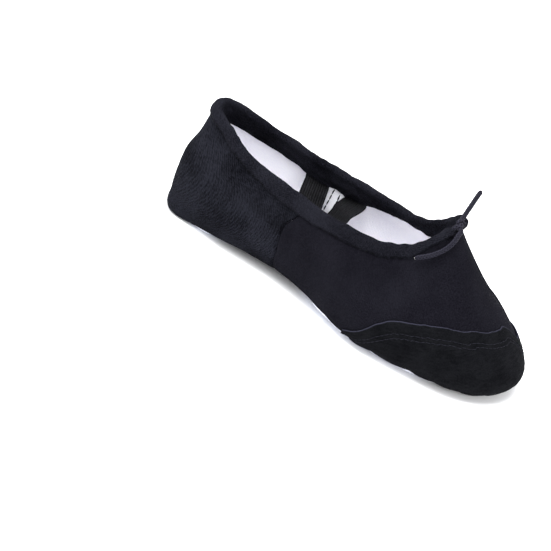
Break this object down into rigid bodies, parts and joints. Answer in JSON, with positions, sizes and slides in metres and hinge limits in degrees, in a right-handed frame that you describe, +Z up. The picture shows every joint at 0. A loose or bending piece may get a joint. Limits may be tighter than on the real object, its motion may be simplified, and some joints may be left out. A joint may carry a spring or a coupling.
{
  "type": "ballet slipper",
  "caption": "Soft canvas ballet slipper with a split suede sole, suede toe cap, drawstring casing and crossed elastic straps.",
  "frame": {"origin": "on the ground, in the middle of the slipper's footprint", "axes": "+X towards the toe, +Y to the wearer's left, +Z up"},
  "size_m": [0.1882, 0.071, 0.0721],
  "materials": {
    "black_canvas": "plain-woven cotton canvas, matt black",
    "black_binding": "thick knitted binding, matt black",
    "black_suede": "split suede, matt black",
    "white_suede": "split suede, pale blue-white with white stitching",
    "white_cotton": "brushed cotton lining, white",
    "white_tape": "cotton seam tape, white with two black stitch rows",
    "black_elastic": "ribbed and braided elastic, black"
  },
  "bodies": {
    "upper": {"vamp": "black_canvas", "quarter_left": "black_canvas", "quarter_right": "black_canvas", "vamp_lining": "white_cotton", "quarter_lining_left": "white_cotton", "quarter_lining_right": "white_cotton", "sole_canvas": "black_canvas", "forefoot_pad": "white_cotton", "heel_pad": "white_cotton", "insole": "white_cotton", "forefoot_patch": "white_suede", "heel_patch": "white_suede", "toe_cap": "black_suede", "casing": "black_binding", "drawstring_loop": "black_elastic", "strap_a_end_left": "black_elastic", "strap_a_end_right": "black_elastic", "strap_b_end_left": "black_elastic", "strap_b_end_right": "black_elastic", "seam_tape_left": "white_tape", "seam_tape_right": "white_tape"},
    "straps": {"strap_a": "black_elastic", "strap_b": "black_elastic"},
    "drawstring": {"drawstring_knot": "black_elastic", "drawstring_tail_left": "black_elastic", "drawstring_tail_right": "black_elastic"}
  },
  "joints": [
    {"name": "strap_swing", "type": "hinge", "parent": "upper", "child": "straps", "pos_m": [-0.02425, 0, 0.033], "axis": [0, -1, 0], "range_deg": [-40, 90]},
    {"name": "drawstring_pull", "type": "slide", "parent": "upper", "child": "drawstring", "axis": [0.717, 0, 0.6971], "range_m": [0, 0.012], "stiffness_N_per_m": 60}
  ]
}
